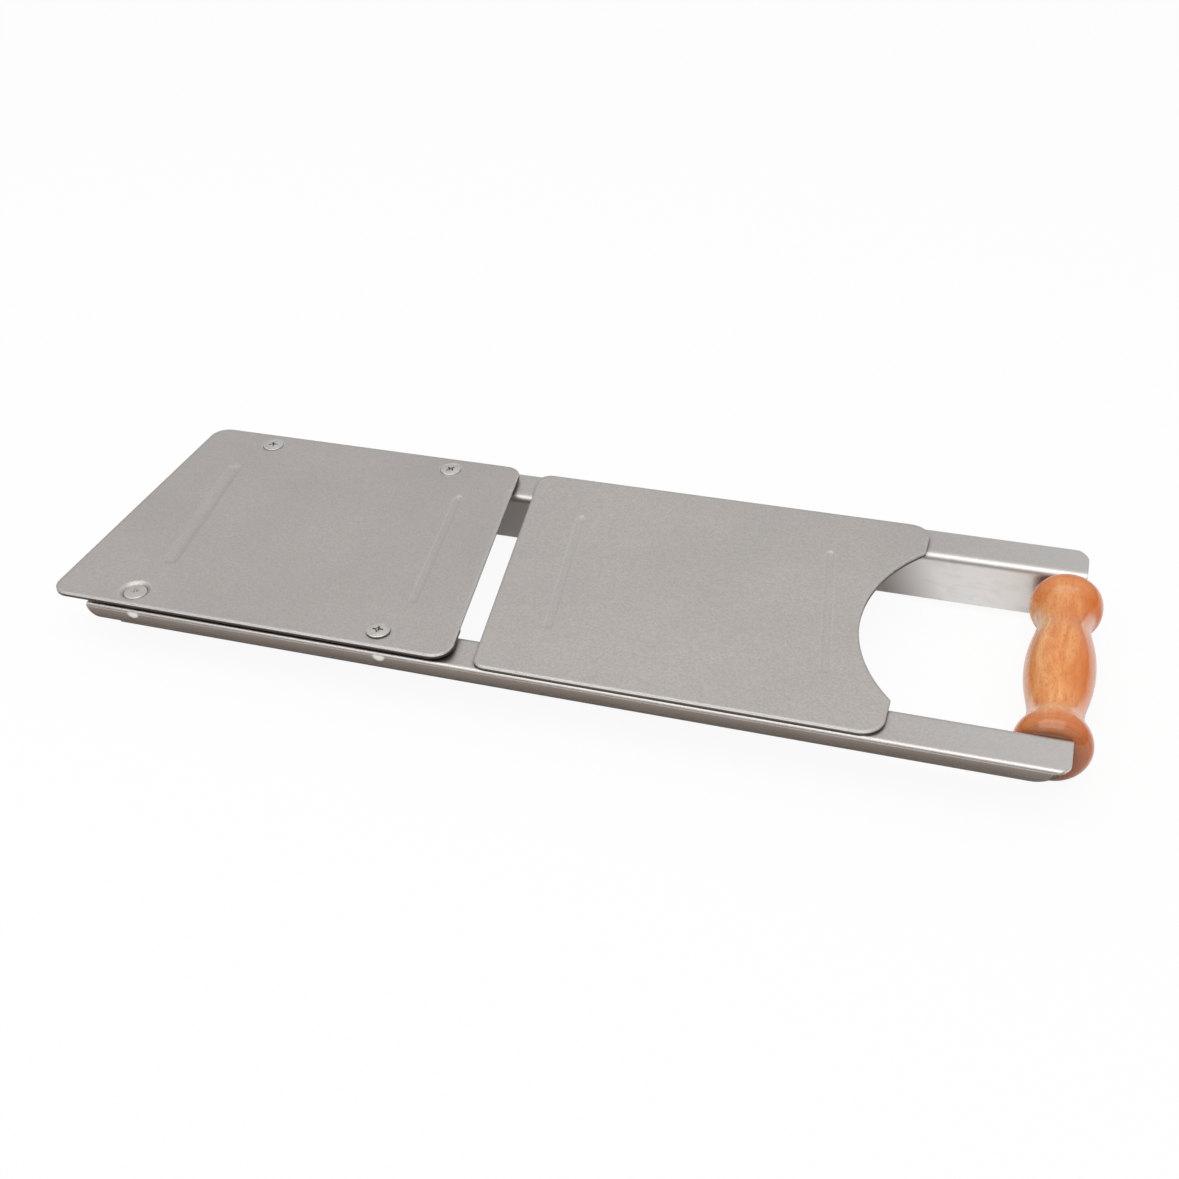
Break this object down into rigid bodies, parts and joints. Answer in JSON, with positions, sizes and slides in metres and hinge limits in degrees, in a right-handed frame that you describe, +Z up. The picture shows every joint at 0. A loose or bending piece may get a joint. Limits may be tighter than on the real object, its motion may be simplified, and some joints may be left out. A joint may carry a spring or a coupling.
{
  "type": "mandoline slicer",
  "caption": "Flat steel mandoline slicer: a raised blade plate and a feed plate on bent rails with a slanted throat between them and a turned wooden grip at the end.",
  "frame": {"origin": "under the middle of the slicer, level with the lowest point of the grip", "axes": "+X from the blade plate to the grip, +Y across the slicer to the far rail, +Z up out of the cutting face"},
  "size_m": [0.3662, 0.128, 0.0263],
  "materials": {
    "rail_steel": "satin stainless sheet",
    "plate_steel": "fine satin stainless sheet",
    "screw_steel": "bright stainless",
    "spring_steel": "tempered spring sheet",
    "plated_steel": "zinc plated",
    "grip_wood": "clear gloss lacquer"
  },
  "bodies": {
    "frame": {"near_rail": "rail_steel", "far_rail": "rail_steel", "feed_plate": "plate_steel", "spring_washer_far_left": "spring_steel", "spring_washer_far_right": "spring_steel", "spring_washer_near_left": "spring_steel", "spring_washer_near_right": "spring_steel", "rail_nut_far_left": "plated_steel", "rail_nut_far_right": "plated_steel", "rail_nut_near_left": "plated_steel", "rail_nut_near_right": "plated_steel", "handle_sleeve": "plated_steel", "handle_bolt": "plated_steel", "handle_washer_near": "plated_steel", "handle_washer_far": "plated_steel", "handle_nut": "plated_steel"},
    "blade_plate": {"blade_plate": "plate_steel"},
    "screw_far_left": {"plate_screw_far_left": "screw_steel"},
    "screw_far_right": {"plate_screw_far_right": "screw_steel"},
    "screw_near_left": {"plate_screw_near_left": "screw_steel"},
    "screw_near_right": {"plate_screw_near_right": "screw_steel"},
    "grip": {"handle_grip": "grip_wood"}
  },
  "joints": [
    {"name": "blade_height", "type": "slide", "parent": "frame", "child": "blade_plate", "axis": [0, 0, 1], "range_m": [-0.0006, 0.0008], "deforming": ["spring_washer_far_left", "spring_washer_far_right", "spring_washer_near_left", "spring_washer_near_right"]},
    {"name": "grip_spin", "type": "hinge", "parent": "frame", "child": "grip", "pos_m": [0.17035, 0, 0.0128], "axis": [0, 1, 0], "continuous": true},
    {"name": "screw_turn_far_left", "type": "hinge", "parent": "blade_plate", "child": "screw_far_left", "pos_m": [-0.15315, 0.0552, 0.0226], "axis": [0, 0, 1], "range_deg": [-270.5, 360.5]},
    {"name": "screw_turn_far_right", "type": "hinge", "parent": "blade_plate", "child": "screw_far_right", "pos_m": [-0.0732, 0.0552, 0.0226], "axis": [0, 0, 1], "range_deg": [-270.5, 360.5]},
    {"name": "screw_turn_near_left", "type": "hinge", "parent": "blade_plate", "child": "screw_near_left", "pos_m": [-0.15215, -0.0552, 0.0226], "axis": [0, 0, 1], "range_deg": [-270.5, 360.5]},
    {"name": "screw_turn_near_right", "type": "hinge", "parent": "blade_plate", "child": "screw_near_right", "pos_m": [-0.056, -0.0552, 0.0226], "axis": [0, 0, 1], "range_deg": [-270.5, 360.5]}
  ],
  "couplings": [
    {"joint": "screw_turn_far_left", "follows": "blade_height", "rad_per_m": 7854},
    {"joint": "screw_turn_far_right", "follows": "blade_height", "rad_per_m": 7854},
    {"joint": "screw_turn_near_left", "follows": "blade_height", "rad_per_m": 7854},
    {"joint": "screw_turn_near_right", "follows": "blade_height", "rad_per_m": 7854}
  ]
}
